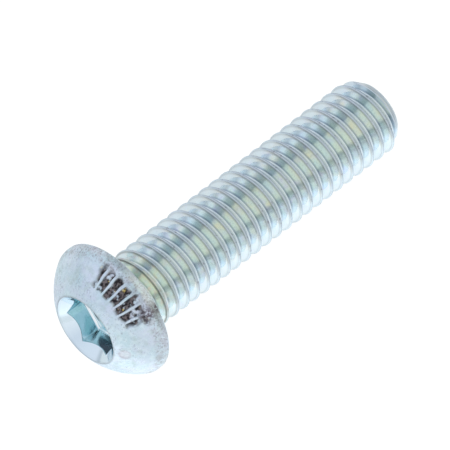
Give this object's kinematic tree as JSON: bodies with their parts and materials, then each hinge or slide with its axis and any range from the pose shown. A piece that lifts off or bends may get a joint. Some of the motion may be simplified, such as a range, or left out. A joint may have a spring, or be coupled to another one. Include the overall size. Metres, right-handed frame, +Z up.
{
  "type": "button head socket cap screw",
  "caption": "Zinc plated button head screw with a hexagon socket in a domed head and a coarse thread up to the head, lying on a flat surface.",
  "frame": {"origin": "on the ground, below the middle of the screw's box", "axes": "+X from the head towards the point, along the ground; +Y across the screw; +Z up. The screw lies on the rim of its head and the last crest of its thread, so its own axis falls 5.2 degrees towards the point."},
  "size_m": [0.0286, 0.0102, 0.0103],
  "materials": {
    "zinc_plate": "bright blue-white zinc plating on forged and rolled steel"
  },
  "bodies": {
    "root": {"button_head_screw": "zinc_plate"}
  },
  "joints": []
}
